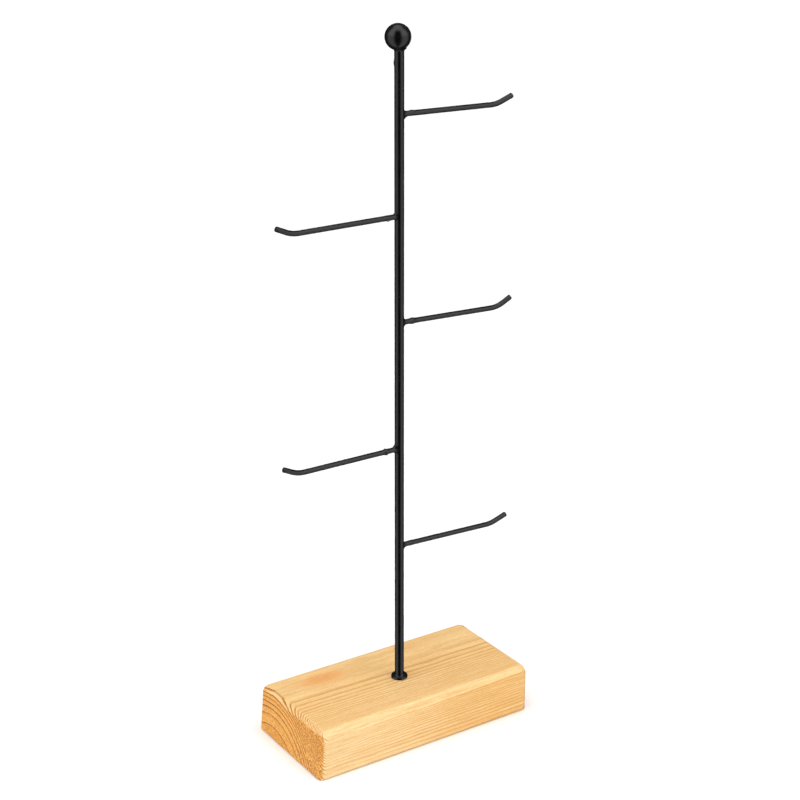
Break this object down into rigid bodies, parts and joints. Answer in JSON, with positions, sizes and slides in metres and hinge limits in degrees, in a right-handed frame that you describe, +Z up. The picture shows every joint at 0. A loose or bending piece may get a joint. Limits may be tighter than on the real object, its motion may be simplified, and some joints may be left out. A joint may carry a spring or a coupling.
{
  "type": "mug tree",
  "caption": "Free-standing mug tree: a rounded softwood block carries a slim black steel post with a ball finial and alternating upturned wire hooks.",
  "frame": {"origin": "on the surface that the block stands on, at the post's axis along X and at the middle of the block's width along Y, which is the centre of the object's footprint", "axes": "+Z up along the post, +X along the block's length towards the side with three hooks, +Y across the block"},
  "size_m": [0.1788, 0.0826, 0.48],
  "materials": {
    "pine": "clear satin finish on planed softwood, growth rings on both ends",
    "black_powder_coat": "semi-gloss black powder coat over steel bar, wire and weld metal",
    "zinc_plate": "bright zinc plate"
  },
  "bodies": {
    "root": {"base_block": "pine", "post": "black_powder_coat", "ball_finial": "black_powder_coat", "foot_collar": "black_powder_coat", "hook_1_right": "black_powder_coat", "hook_2_left": "black_powder_coat", "hook_3_right": "black_powder_coat", "hook_4_left": "black_powder_coat", "hook_5_right": "black_powder_coat", "hook_weld_1": "black_powder_coat", "hook_weld_2": "black_powder_coat", "hook_weld_3": "black_powder_coat", "hook_weld_4": "black_powder_coat", "hook_weld_5": "black_powder_coat", "ball_weld": "black_powder_coat", "collar_weld": "black_powder_coat", "clamp_washer": "zinc_plate", "hex_nut": "zinc_plate"}
  },
  "joints": []
}
